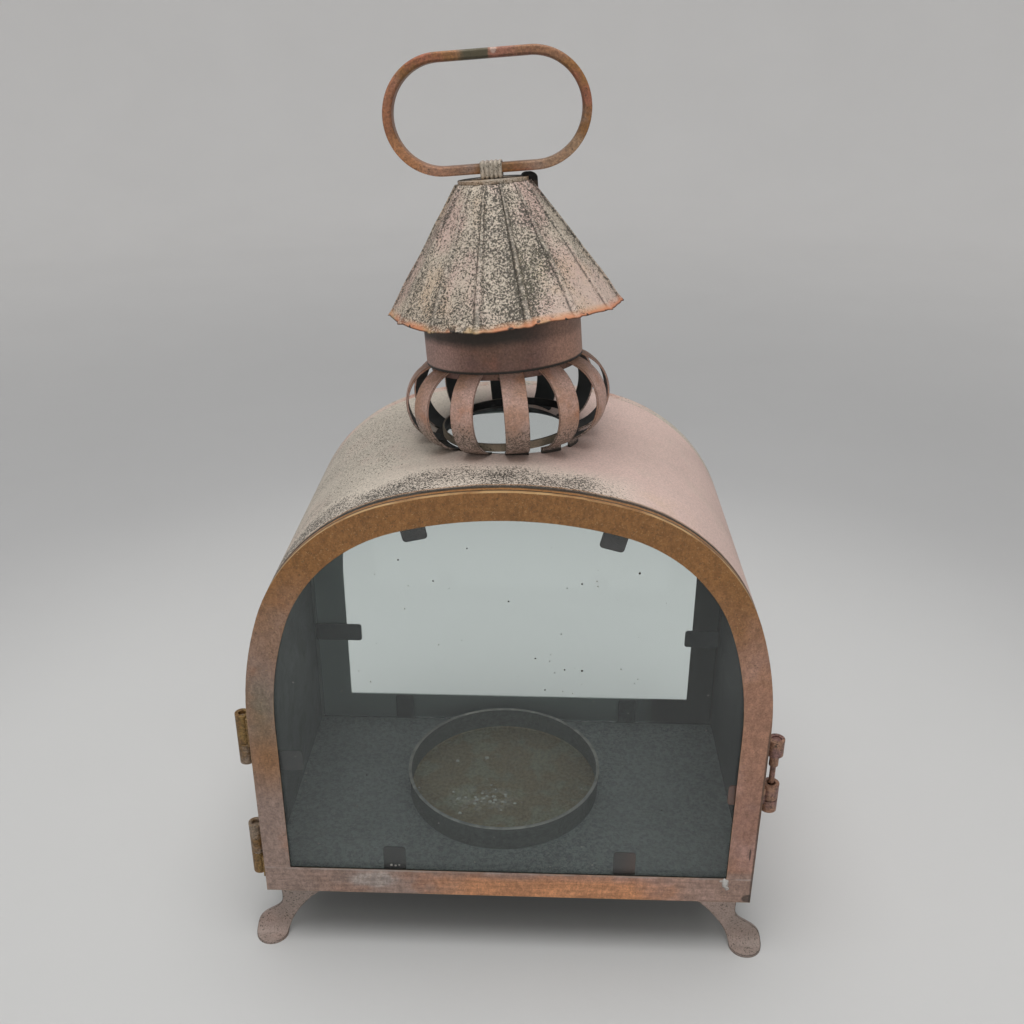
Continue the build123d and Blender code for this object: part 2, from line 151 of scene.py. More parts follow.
# Larger drops of wax in the cup: across, depth and radius, in metres
WAX_DROPS = ((-0.0272, 0.0218, 0.001), (-0.0132, 0.0246, 0.0012), (-0.0233, -0.0159, 0.001))

# All drops of wax and how far from the cup's middle they lie, and the specks on the panes
WAX_COUNT = 30
WAX_REACH = 0.038
DUST_COUNT = 60
BACK_DOT_COUNT = 14

# Shape of a drop: rings, sides, thickness as a share of its radius, and dip into the face in metres
DROP_RINGS = 4
DROP_SIDES = 14
DROP_THICKNESS = 0.35
DROP_DIP = 0.00005
DROP_ROOT = 0.0001

# How far the back pane is drawn clear of the frame that it lies on, in metres
PANE_CLEARANCE = 0.0001

# Staple round the handle: ridges and their points, and sizes in metres
STAPLE_RIDGES = 5
RIDGE_STATIONS = 8
RIDGE_DEPTH = 0.00045
STAPLE_CORNER = 0.0012
STAPLE_SHEET = 0.0008


def srgb(red, green, blue):
    """Linear colour of a screen colour given as 0 to 255."""
    linear = []
    for value in (red, green, blue):
        share = value / 255
        linear.append(share / 12.92 if share <= 0.04045 else ((share + 0.055) / 1.055) ** 2.4)
    return (*linear, 1.0)


# Colours of the finishes, and a half of every channel
HALF = (0.5, 0.5, 0.5, 1.0)
PINK = srgb(211, 184, 174)
PINK_DUSTY = srgb(202, 180, 168)
CREAM = srgb(214, 202, 187)
BEIGE = srgb(194, 184, 170)
ROOF_BEIGE = srgb(196, 183, 166)
ROOF_ROSE = srgb(200, 175, 163)
BEIGE_WARM = srgb(205, 178, 150)
ROSE = srgb(190, 150, 135)
ROSE_COPPER = srgb(174, 130, 107)
STRIP_ROSE = srgb(196, 160, 146)
STRIP_COPPER = srgb(182, 142, 120)
MAUVE = srgb(140, 106, 99)
MAUVE_GREY = srgb(157, 134, 123)
COLLAR_MAUVE = srgb(128, 97, 88)
COLLAR_BROWN = srgb(130, 97, 81)
COLLAR_LIT_ROSE = srgb(184, 148, 137)
COLLAR_LIT_COPPER = srgb(182, 140, 121)
FOOT_GREY = srgb(158, 142, 133)
FOOT_ROSE = srgb(176, 154, 144)
GREY_PALE = srgb(176, 166, 160)
GOLD_BROWN = srgb(152, 106, 60)
GOLD_PALE = srgb(206, 172, 122)
COPPER = srgb(184, 126, 92)
COPPER_PALE = srgb(206, 144, 100)
COPPER_RED = srgb(160, 98, 74)
BARE_COPPER = srgb(208, 132, 94)
SPECK_DARK = srgb(70, 64, 52)
SPECK_BLACK = srgb(44, 40, 34)
SPECK_OLIVE = srgb(104, 102, 74)
RING_OLIVE = srgb(150, 137, 118)
INSIDE_GREY = srgb(152, 159, 158)
INSIDE_WALL = srgb(80, 85, 85)
INSIDE_BACK = srgb(146, 154, 151)
INSIDE_LEFT = srgb(98, 104, 104)
INSIDE_RIGHT_SHADE = srgb(54, 58, 58)
INSIDE_SOOT = srgb(58, 61, 61)
CUP_OLIVE = srgb(166, 162, 134)
CUP_WALL = srgb(92, 97, 94)
TAB_MAUVE = srgb(84, 77, 76)
TAB_SHADE = srgb(60, 58, 58)
DUST_PALE = srgb(200, 198, 190)
WAX_PALE = srgb(240, 240, 230)
SOLDER = srgb(206, 204, 200)
# Black for painted shade on the lug and the plate, and for the sooty insides of the ring and the band
BLACK_SOOT_AND_SHADE = srgb(14, 11, 10)
LUG_BROWN = srgb(74, 58, 46)
BRASS_OLIVE = srgb(140, 112, 64)
BRASS_BROWN = srgb(126, 95, 56)
BRASS_GREY = srgb(140, 122, 104)
LATCH_ROSE = srgb(160, 122, 100)
GLASS_TINT = srgb(247, 252, 251)
STAGE_NEAR = srgb(208, 208, 207)
STAGE_PAINTED_DIM = srgb(188, 188, 188)
STAGE_PAINTED_BRIGHT = srgb(240, 239, 238)
STAGE_PAINTED_SHADOW = srgb(150, 150, 149)


class Coat:
    """One material and its colour so far, built with short calls whose results are node outputs."""

    def __init__(self, name, colour):
        self.material = bpy.data.materials.new(name)
        self.material.use_nodes = True
        self.tree = self.material.node_tree
        self.tree.nodes.clear()
        self.output = self.node("ShaderNodeOutputMaterial")
        coordinates = self.node("ShaderNodeTexCoord")
        self.place = coordinates.outputs["Object"]
        self.facing = coordinates.outputs["Normal"]
        self.rounded = None
        self.colour = colour

    def node(self, kind, **settings):
        made = self.tree.nodes.new(kind)
        for key, value in settings.items():
            setattr(made, key, value)
        return made

    def put(self, value, socket):
        """Give a socket a plain value or another node's output."""
        if isinstance(value, bpy.types.NodeSocket):
            self.tree.links.new(value, socket)
        else:
            socket.default_value = value

    def operate(self, kind, operation, first, second):
        made = self.node(kind, operation=operation)
        self.put(first, made.inputs[0])
        self.put(second, made.inputs[1])
        return made.outputs

    def math(self, operation, first, second=0.0):
        return self.operate("ShaderNodeMath", operation, first, second)[0]

    def vector(self, operation, first, second=(0.0, 0.0, 0.0)):
        results = self.operate("ShaderNodeVectorMath", operation, first, second)
        return results["Value" if operation in ("DOT_PRODUCT", "LENGTH") else "Vector"]

    def plus(self, first, second):
        return self.math("ADD", first, second)

    def minus(self, first, second):
        return self.math("SUBTRACT", first, second)

    def axis(self, name):
        made = self.node("ShaderNodeSeparateXYZ")
        self.put(self.place, made.inputs[0])
        return made.outputs[name]

    def along(self, direction):
        """Place of each point along a direction."""
        return self.vector("DOT_PRODUCT", self.place, direction)

    def away(self, middle, weights):
        """Way to each point from an axis through middle; weights is 0 along that axis."""
        return self.vector("MULTIPLY", self.vector("SUBTRACT", self.place, middle), weights)

    def from_axis(self, middle, weights):
        """Distance from an axis."""
        return self.vector("LENGTH", self.away(middle, weights))

    def ramp(self, value, low, high):
        """0 below low and 1 above high, smooth between; low may be the larger one."""
        made = self.node("ShaderNodeMapRange", interpolation_type="SMOOTHSTEP")
        self.put(value, made.inputs["Value"])
        self.put(low, made.inputs["From Min"])
        self.put(high, made.inputs["From Max"])
        return made.outputs["Result"]

    def spread(self, share, low, high):
        """Value between low and high for a share from 0 to 1."""
        made = self.node("ShaderNodeMapRange")
        self.put(share, made.inputs["Value"])
        made.inputs["To Min"].default_value = low
        made.inputs["To Max"].default_value = high
        return made.outputs["Result"]

    def noise(self, scale, detail=3.0, rough=0.55, distortion=0.0, stretch=(1.0, 1.0, 1.0), seed=0.0):
        """Noise with about scale patches a metre."""
        moved = self.vector("MULTIPLY", self.place, stretch)
        moved = self.vector("ADD", moved, (seed, seed * 0.7, seed * 1.3))
        made = self.node("ShaderNodeTexNoise")
        self.put(moved, made.inputs["Vector"])
        settings = {"Scale": scale, "Detail": detail, "Roughness": rough, "Distortion": distortion}
        for key, value in settings.items():
            made.inputs[key].default_value = value
        return made.outputs["Fac"]

    def blots(self, low, high, scale, **kind):
        """Patches: 0 where noise is below low and 1 where it is above high."""
        return self.ramp(self.noise(scale, **kind), low, high)

    def uneven(self, low, high, scale, **kind):
        """Value that wanders between low and high."""
        return self.spread(self.noise(scale, **kind), low, high)

    def mix(self, share, first, second):
        made = self.node("ShaderNodeMix", data_type="RGBA")
        self.put(share, made.inputs["Factor"])
        self.put(first, made.inputs[6])
        self.put(second, made.inputs[7])
        return made.outputs[2]

    def branch(self, colour):
        """The same material with another colour so far, to be laid over this one."""
        other = copy.copy(self)
        other.colour = colour
        return other

    def lay(self, tone, *shares):
        """Lay a tone over the colour, as strongly as the product of the shares."""
        self.colour = self.mix(self.times(*shares), self.colour, tone)

    def shade(self, share, low, high):
        """Make the colour darker or lighter by a share from 0 to 1."""
        made = self.node("ShaderNodeMix", data_type="RGBA", blend_type="MULTIPLY")
        made.inputs["Factor"].default_value = 1.0
        self.put(self.colour, made.inputs[6])
        self.put(self.spread(share, low, high), made.inputs[7])
        self.colour = made.outputs[2]

    def patch(self, middle, radii):
        """1 at the middle of an ellipsoid, 0 outside it."""
        away = self.vector("SUBTRACT", self.place, middle)
        away = self.vector("DIVIDE", away, radii)
        return self.ramp(self.vector("LENGTH", away), 1.0, 0.0)

    def most(self, *shares):
        return functools.reduce(functools.partial(self.math, "MAXIMUM"), shares)

    def times(self, *shares):
        return functools.reduce(functools.partial(self.math, "MULTIPLY"), shares)

    def attribute(self, name):
        """Value that a piece's own mesh carries at each point."""
        return self.node("ShaderNodeAttribute", attribute_name=name).outputs["Fac"]

    def round_off(self, radius):
        """Soften the shading of sharp edges by a radius."""
        rounded = self.node("ShaderNodeBevel", samples=6)
        rounded.inputs["Radius"].default_value = radius
        self.rounded = rounded.outputs[0]

    def edges(self):
        """1 along the edges that round_off softens."""
        geometry = self.node("ShaderNodeNewGeometry")
        same = self.vector("DOT_PRODUCT", self.rounded, geometry.outputs["Normal"])
        return self.ramp(same, 0.98, 0.84)

    def worn(self, low, high, scale, **kind):
        """Patches along the edges that round_off softens."""
        return self.times(self.edges(), self.blots(low, high, scale, **kind))

    def towards(self, direction):
        """1 on faces that look along a direction."""
        return self.ramp(self.vector("DOT_PRODUCT", self.facing, direction), 0.35, 0.55)

    def inwards(self, middle, weights):
        """1 on faces that look towards an axis."""
        away = self.vector("NORMALIZE", self.away(middle, weights))
        return self.ramp(self.vector("DOT_PRODUCT", away, self.facing), 0.1, -0.1)

    def speckle(self, scale, amount, softness=0.05, seed=0.0):
        """Fine worm-like specks; amount is the share that they cover, from 0 to 1."""
        grain = self.noise(scale, detail=2.0, rough=0.6, distortion=0.9, seed=seed)
        limit = self.spread(amount, 0.76, 0.36)
        return self.ramp(grain, self.minus(limit, softness), self.plus(limit, softness))

    def mottle(self, scale, low, high, seed):
        """Give the colour fine grains that are darker and lighter than it."""
        grain = self.blots(0.36, 0.64, scale, detail=2.0, rough=0.7, distortion=0.4, seed=seed)
        self.shade(grain, low, high)

    def grime(self, seed):
        """Give the colour the broad and fine unevenness that every painted surface has."""
        self.shade(self.noise(38, detail=5, seed=seed), 0.84, 1.14)
        self.mottle(1300, 0.88, 1.1, seed + 1)

    def band(self, value, low, high, blur):
        """1 between low and high, with soft sides."""
        above = self.ramp(value, low - blur, low + blur)
        return self.times(above, self.ramp(value, high + blur, high - blur))

    def surface(self, roughness, metallic, height, lift=0.0001, **plain):
        """Principled surface with a bump; plain gives values that are the same all over."""
        shader = self.node("ShaderNodeBsdfPrincipled")
        self.put(self.colour, shader.inputs["Base Color"])
        self.put(roughness, shader.inputs["Roughness"])
        self.put(metallic, shader.inputs["Metallic"])
        for key, value in plain.items():
            shader.inputs[key.replace("_", " ")].default_value = value
        bump = self.node("ShaderNodeBump")
        bump.inputs["Distance"].default_value = lift
        bump.inputs["Strength"].default_value = 1.0
        self.put(height, bump.inputs["Height"])
        if self.rounded is not None:
            self.put(self.rounded, bump.inputs["Normal"])
        self.put(bump.outputs[0], shader.inputs["Normal"])
        self.put(shader.outputs[0], self.output.inputs["Surface"])
        return self.material


# Finishes

def inside_colour(coat, tint=INSIDE_WALL):
    """Dark primer with dust on it, as on everything inside the case."""
    primer = coat.branch(tint)
    primer.lay(INSIDE_SOOT, coat.blots(0.4, 0.75, 60, detail=4, seed=7), 0.6)
    primer.lay(DUST_PALE, coat.towards(SKY), coat.speckle(1100, 0.35, seed=9), 0.3)
    primer.mottle(500, 0.86, 1.14, 10)
    return primer.colour


def shell_paint():
    """Pink at the right, beige at the left and along the front, under dark worm-like specks."""
    coat = Coat("shell_patina", BEIGE)
    coat.round_off(0.0004)
    across, depth = coat.axis("X"), coat.axis("Y")
    drift = coat.uneven(-0.04, 0.04, 20, detail=4, seed=2)
    rightness = coat.ramp(coat.plus(across, drift), -0.045, 0.035)
    coat.lay(PINK, rightness)
    coat.lay(PINK_DUSTY, coat.blots(0.5, 0.7, 40, detail=5, seed=5), 0.6)
    waver = coat.uneven(-0.009, 0.009, 45, detail=4, seed=12)
    near = coat.ramp(coat.plus(depth, waver), -0.029, -0.0465)
    front = coat.times(near, coat.ramp(coat.plus(across, waver), 0.056, 0.024))
    coat.lay(CREAM, front, 0.8)
    stain = coat.patch((0.055, -0.048, 0.197), (0.02, 0.016, 0.02))
    coat.lay(BEIGE_WARM, stain, coat.blots(0.35, 0.7, 120, detail=4, seed=3), 0.5)
    coat.grime(1)
    patchy = coat.spread(coat.blots(0.28, 0.62, 42, detail=4, seed=2), 0.7, 1.0)
    left = coat.ramp(coat.plus(across, waver), -0.014, -0.056)
    sparse = coat.times(coat.ramp(across, 0.08, -0.03), 0.17)
    thick = coat.most(coat.times(front, 0.74), coat.times(left, 0.48))
    amount = coat.most(coat.times(thick, patchy), sparse)
    specks = coat.mix(front, SPECK_DARK, SPECK_BLACK)
    coat.lay(specks, coat.speckle(1500, amount, 0.03, seed=1), 0.95)
    coat.lay(COPPER, coat.speckle(900, 0.1, seed=6), rightness, 0.5)
    seam = coat.plus(depth, coat.uneven(-0.0007, 0.0007, 130, seed=14))
    coat.lay(GOLD_BROWN, coat.band(seam, -0.0556, -0.0549, 0.0003), 0.75)
    # Painted shadow in the gap between the shell's front edge and the door
    coat.lay(SPECK_BLACK, coat.ramp(seam, -0.0555, -0.056), 0.9)
    coat.lay(GOLD_BROWN, coat.worn(0.3, 0.55, 90, detail=4, seed=8), rightness, 0.6)
    # Black round the chimney hole: painted shadow under the ring and the strips' feet, with dark solder
    coat.lay(SPECK_BLACK, coat.ramp(coat.from_axis(CHIMNEY_AXIS, ROUND_Z), 0.0278, 0.0274))
    # Inner walls: painted shade, darker towards the right
    wall = coat.mix(coat.ramp(across, -0.03, 0.05), INSIDE_LEFT, INSIDE_RIGHT_SHADE)
    coat.lay(inside_colour(coat, wall), coat.inwards(VAULT_AXIS, ROUND_Y))
    return coat.surface(coat.uneven(0.5, 0.78, 120, seed=2), 0.05, coat.noise(800))


def roof_paint():
    """Beige and rose panels under even dark specks, denser beside the flutes, with painted shadow and
    highlight lines along the flutes, copper at the rim and a painted shadow line under it.
    """
    coat = Coat("roof_patina", ROOF_BEIGE)
    coat.lay(ROOF_ROSE, coat.blots(0.44, 0.6, 52, stretch=(1, 1, 0.35), seed=4))
    low_right = coat.patch((0.03, -0.025, 0.272), (0.034, 0.05, 0.02))
    coat.lay(ROOF_ROSE, coat.ramp(low_right, 0.05, 0.6), 0.7)
    coat.grime(11)
    coat.lay(BEIGE_WARM, coat.blots(0.54, 0.7, 60, detail=4, stretch=(1, 1, 0.5), seed=15), 0.55)
    cover = coat.spread(coat.blots(0.3, 0.66, 85, stretch=(1, 1, 0.3), seed=9), 0.48, 0.7)
    dark_side = coat.patch((0.006, -0.03, 0.287), (0.02, 0.035, 0.03))
    flute_side = coat.attribute("flute_side")
    high_right = coat.patch((0.022, -0.022, 0.288), (0.018, 0.04, 0.022))
    for share, change in ((dark_side, 0.2), (flute_side, 0.1), (low_right, -0.32), (high_right, -0.08)):
        cover = coat.plus(cover, coat.times(share, change))
    coat.lay(BEIGE_WARM, coat.ramp(coat.along(ACROSS), -0.004, -0.034), 0.35)
    specks = coat.mix(0.5, SPECK_DARK, SPECK_BLACK)
    coat.lay(specks, coat.speckle(1500, cover, 0.02, seed=4), 0.95)
    coat.lay(CREAM, coat.speckle(1700, 0.27, 0.02, seed=17), 0.8)
    olive = coat.patch((0.008, -0.032, 0.284), (0.014, 0.03, 0.02))
    coat.lay(SPECK_OLIVE, olive, coat.speckle(900, 0.5, seed=2), 0.5)
    # Painted shadow along one side of each flute, and a painted highlight on its crest
    coat.lay(SPECK_BLACK, coat.attribute("flute_shadow_line"), coat.blots(0.3, 0.5, 420, seed=3), 0.85)
    coat.lay(CREAM, coat.attribute("flute_highlight_line"), coat.blots(0.35, 0.6, 300, seed=8), 0.3)
    rim = coat.attribute("rim")
    coat.lay(GOLD_PALE, rim, coat.blots(0.4, 0.56, 80, seed=21), 0.7)
    right_rim = coat.patch((0.036, -0.02, 0.264), (0.03, 0.045, 0.02))
    coppery = coat.most(coat.blots(0.42, 0.56, 60, seed=1), coat.ramp(right_rim, 0.1, 0.5))
    front_right = coat.ramp(coat.along(ACROSS), -0.036, -0.016)
    coat.lay(BARE_COPPER, rim, coppery, front_right, 0.9)
    coat.lay(SPECK_BLACK, rim, coat.blots(0.58, 0.64, 330, seed=5))
    # Painted shadow along the rim's lower edge
    coat.lay(SPECK_BLACK, coat.attribute("rim_shadow_line"), 0.75)
    coat.lay(inside_colour(coat), coat.attribute("under"))
    return coat.surface(coat.uneven(0.5, 0.8, 120, seed=2), 0.05, coat.noise(900, seed=11), 0.00014)


def painted(name, tones, amount, edge, edge_share, inside=None, inside_tint=INSIDE_WALL,
            specks=SPECK_DARK, edge_width=0.0004, seed=0.0):
    """Patina paint: patches of tones, fine specks, another colour on edges, and a dark inner side."""
    first, second, third = tones
    coat = Coat(name, first)
    coat.round_off(edge_width)
    coat.lay(second, coat.blots(0.42, 0.6, 30, detail=4, seed=seed))
    coat.lay(third, coat.blots(0.54, 0.68, 46, detail=5, seed=seed + 3))
    coat.grime(seed)
    coat.lay(specks, coat.speckle(1200, amount, seed=seed), 0.85)
    coat.lay(edge, coat.worn(0.32, 0.56, 130, detail=4, seed=seed + 5), edge_share)
    if inside is not None:
        tint = inside_tint(coat) if callable(inside_tint) else inside_tint
        coat.lay(tint, inside(coat))
    return coat.surface(coat.uneven(0.45, 0.75, 120, seed=seed + 2), 0.08, coat.noise(900, seed=seed))


def chimney_inside(coat):
    return coat.inwards(CHIMNEY_AXIS, ROUND_Z)


def right_tab(coat):
    return coat.times(coat.ramp(coat.axis("X"), 0.04, 0.07), 0.7)


# Darker in the valleys between the staple's ridges
def darker_valleys(coat):
    return coat.times(coat.attribute("valley"), 0.42)


def plate_paint():
    """Speckled as the roof, golden round its side, with a painted shadow line along the back of its top.
    """
    coat = Coat("plate_patina", ROOF_BEIGE)
    coat.round_off(0.0004)
    (left, right), (near, far), _ = spans("roof_top_plate")
    radius = (right - left) / 2
    across = coat.minus(coat.along(ACROSS), (left + right) / 2)
    deep = coat.minus(coat.along(BACK), (near + far) / 2)
    away = coat.math("SQRT", coat.plus(coat.times(across, across), coat.times(deep, deep)))
    coat.lay(BEIGE_WARM, coat.blots(0.42, 0.6, 90, seed=71))
    coat.grime(71)
    coat.lay(SPECK_DARK, coat.speckle(1600, 0.62, seed=71), 0.85)
    side = coat.minus(1.0, coat.towards(UP))
    coat.lay(GOLD_BROWN, side, coat.blots(0.36, 0.56, 110, seed=73), 0.35)
    # Painted shadow in the gap under the handle's bar, along the back of the top
    outer = coat.ramp(away, radius - 0.006, radius - 0.004)
    coat.lay(BLACK_SOOT_AND_SHADE, outer, coat.ramp(deep, -0.001, 0.002))
    return coat.surface(coat.uneven(0.5, 0.8, 120, seed=72), 0.05, coat.noise(900, seed=71))


def lug_paint():
    """Black on top as painted shade, brown where it hangs beside the roof."""
    coat = Coat("lug_primer_and_shade", BLACK_SOOT_AND_SHADE)
    coat.round_off(0.0005)
    top = spans("roof_lug")[2][1]
    ragged = coat.uneven(-0.0008, 0.0008, 300, seed=33)
    low = coat.ramp(coat.plus(coat.along(UP), ragged), top - 0.0028, top - 0.0036)
    brown = coat.branch(LUG_BROWN)
    brown.grime(33)
    brown.mottle(900, 0.7, 1.2, 34)
    coat.lay(brown.colour, low, 0.8)
    return coat.surface(coat.uneven(0.6, 0.9, 200, seed=35), 0.0, coat.noise(700, seed=33))


def inside_case(coat):
    """Faces of the back frame that look forward, or in towards its window."""
    return coat.most(coat.towards(FRONT), coat.inwards(VAULT_AXIS, ROUND_Y))


def back_tint_and_shade(coat):
    """Grey primer, with painted shade in black on the right-hand side."""
    return coat.mix(coat.ramp(coat.axis("X"), 0.06, 0.074), INSIDE_BACK, SPECK_BLACK)


def collar_paint():
    """Mauve, with painted light on its rose and copper sides, painted shadow and some soot close under
    the roof, and a black line along its lower edge.
    """
    coat = Coat("collar_patina_and_shade", COLLAR_MAUVE)
    coat.round_off(0.0005)
    (left, right), _, (bottom, _) = spans("chimney_collar")
    across = coat.minus(coat.along(ACROSS), (left + right) / 2)
    coat.lay(COLLAR_BROWN, coat.blots(0.36, 0.58, 34, detail=4, seed=31))
    coat.lay(COPPER_RED, coat.blots(0.54, 0.7, 60, detail=4, seed=33), 0.3)
    # Painted light: both sides lighter than the shaded middle
    coat.lay(COLLAR_LIT_ROSE, coat.ramp(across, -0.01, -0.024))
    coat.lay(COLLAR_LIT_COPPER, coat.ramp(across, 0.01, 0.024))
    coat.grime(31)
    coat.mottle(1100, 0.84, 1.16, 32)
    # Painted shadow of the roof's rim, with some soot, strongest at the left
    height = coat.plus(coat.along(UP), coat.uneven(-0.0012, 0.0012, 90, detail=4, seed=35))
    shaded = coat.ramp(height, bottom + 0.0085, bottom + 0.0125)
    soot_and_shadow = coat.spread(coat.ramp(across, 0.004, 0.024), 0.9, 0.35)
    coat.lay(SPECK_BLACK, shaded, soot_and_shadow)
    coat.lay(SPECK_BLACK, coat.speckle(1200, 0.18, seed=31), 0.7)
    coat.lay(SPECK_BLACK, coat.ramp(coat.along(UP), bottom + 0.0013, bottom + 0.0006))
    coat.lay(INSIDE_SOOT, chimney_inside(coat))
    return coat.surface(coat.uneven(0.42, 0.7, 120, seed=33), 0.1, coat.noise(800, seed=31))


def strip_paint():
    """Rose strips with copper patches, grey specks and a black end at the feet, partly painted shadow and
    partly dark solder, and dark edges.
    """
    coat = Coat("strip_patina", STRIP_ROSE)
    coat.round_off(0.0005)
    coat.lay(STRIP_COPPER, coat.blots(0.4, 0.62, 70, detail=4, seed=21))
    coat.lay(COPPER, coat.blots(0.55, 0.7, 90, detail=4, seed=24), 0.5)
    coat.grime(21)
    coat.mottle(1200, 0.86, 1.12, 26)
    rise = coat.minus(coat.from_axis(CROWN_AXIS, ROUND_Y), CROWN_RADIUS)
    ragged = coat.uneven(-0.004, 0.004, 150, detail=4, seed=22)
    foot = coat.ramp(coat.plus(rise, ragged), 0.019, 0.007)
    coat.lay(GREY_PALE, foot, 0.6)
    amount = coat.spread(foot, 0.2, 0.72)
    coat.lay(SPECK_DARK, coat.speckle(1300, amount, seed=21), 0.75)
    coat.lay(SPECK_BLACK, coat.worn(0.25, 0.5, 200, detail=4, seed=25), 0.9)
    # Black at the feet: painted shadow where they meet the shell, and dark solder
    coat.lay(SPECK_BLACK, coat.ramp(rise, 0.0017, 0.0008))
    coat.lay(INSIDE_SOOT, chimney_inside(coat))
    return coat.surface(coat.uneven(0.42, 0.7, 120, seed=23), 0.1, coat.noise(900, seed=21))


def door_paint():
    """Golden brown round the arch, grey mauve down the left, rose down the right, copper on the rail,
    with painted highlights and shadows along its rims.
    """
    coat = Coat("door_paint", MAUVE_GREY)
    coat.round_off(0.0006)
    low = coat.axis("Z")
    drift = coat.uneven(-0.035, 0.035, 30, detail=4, seed=1)
    across = coat.plus(coat.axis("X"), drift)
    height = coat.plus(low, drift)
    coat.lay(ROSE_COPPER, coat.blots(0.45, 0.62, 36, detail=4, seed=6))
    right = coat.mix(coat.blots(0.48, 0.66, 40, detail=4, seed=9), ROSE_COPPER, ROSE)
    coat.lay(right, coat.ramp(across, -0.03, 0.05))
    coat.lay(GOLD_BROWN, coat.ramp(height, 0.125, 0.185))
    coat.lay(GOLD_BROWN, coat.patch((-0.095, DOOR_FACE, 0.098), (0.02, 0.01, 0.026)), 0.8)
    coat.lay(SPECK_OLIVE, coat.patch((-0.096, DOOR_FACE, 0.121), (0.012, 0.01, 0.026)), 0.55)
    coat.lay(MAUVE, coat.patch((0.096, DOOR_FACE, 0.068), (0.014, 0.01, 0.045)), 0.45)
    rail = coat.ramp(low, 0.046, 0.043)
    ends = coat.most(coat.ramp(across, -0.045, -0.075), coat.ramp(across, 0.05, 0.085))
    coat.lay(MAUVE_GREY, rail, ends, 0.75)
    orange = coat.times(rail, coat.ramp(across, -0.045, -0.015), coat.ramp(across, 0.072, 0.045))
    coat.lay(COPPER_PALE, orange, coat.ramp(low, 0.041, 0.036), 0.85)
    pale = coat.patch((-0.056, DOOR_FACE, 0.0365), (0.018, 0.01, 0.008))
    coat.lay(GREY_PALE, coat.ramp(coat.times(pale, coat.noise(160, seed=4)), 0.1, 0.35), 0.75)
    scratch = coat.patch((0.0991, DOOR_FACE, 0.0547), (0.0006, 0.004, 0.0045))
    mitre = coat.patch((0.1005, DOOR_FACE, 0.0312), (0.004, 0.004, 0.0028))
    coat.grime(5)
    brushed = coat.blots(0.35, 0.65, 1000, detail=2, rough=0.7, stretch=(0.7, 1, 0.35), seed=16)
    coat.shade(brushed, 0.85, 1.12)
    coat.mottle(520, 0.92, 1.07, 28)
    drawn = coat.blots(0.36, 0.64, 700, detail=2, rough=0.7, stretch=(0.12, 1, 1), seed=23)
    coat.shade(coat.mix(rail, HALF, drawn), 0.86, 1.14)
    high = coat.ramp(height, 0.1, 0.18)
    coat.lay(SPECK_DARK, coat.speckle(1300, coat.spread(high, 0.18, 0.3), seed=3), 0.55)
    coat.lay(GOLD_PALE, coat.speckle(1700, coat.spread(high, 0.14, 0.25), seed=12), 0.55)
    # Painted highlight along the rail's upper edge
    ragged = coat.uneven(-0.0004, 0.0004, 120, seed=24)
    upper = coat.band(coat.plus(low, ragged), 0.0408, 0.0417, 0.0002)
    coat.lay(GREY_PALE, upper, rail, coat.blots(0.34, 0.55, 70, seed=25), 0.5)
    coat.lay(SPECK_BLACK, coat.ramp(coat.most(scratch, mitre), 0.05, 0.4), 0.75)
    # Painted shade on the lower right side face
    right_side_shade = coat.times(coat.ramp(coat.axis("X"), 0.1004, 0.101), coat.ramp(low, 0.13, 0.11))
    coat.lay(SPECK_BLACK, right_side_shade, 0.7)
    rim = coat.minus(1.0, coat.most(coat.towards(FRONT), coat.towards((0, 1, 0))))
    depth = coat.plus(coat.axis("Y"), coat.uneven(-0.0004, 0.0004, 160, seed=18))
    # Painted highlight on the front of the rim, and painted shadow lines in the gaps behind it
    patches = coat.blots(0.34, 0.56, 60, detail=4, seed=19)
    coat.lay(GOLD_PALE, rim, patches, coat.ramp(depth, -0.0604, -0.061), 0.7)
    gap_shadows = coat.most(coat.band(depth, -0.0607, -0.0599, 0.0002), coat.ramp(depth, -0.0586, -0.0581))
    coat.lay(SPECK_BLACK, rim, gap_shadows, 0.9)
    coat.lay(GOLD_PALE, coat.worn(0.38, 0.6, 110, detail=4, seed=2), 0.5)
    # Painted shadow on the faces round the window, between the frame and the pane
    coat.lay(SPECK_BLACK, coat.inwards(WINDOW_MIDDLE, ROUND_Y), rim)
    coat.lay(inside_colour(coat), coat.towards((0, 1, 0)))
    return coat.surface(coat.uneven(0.42, 0.7, 150, seed=4), 0.15, coat.noise(900))


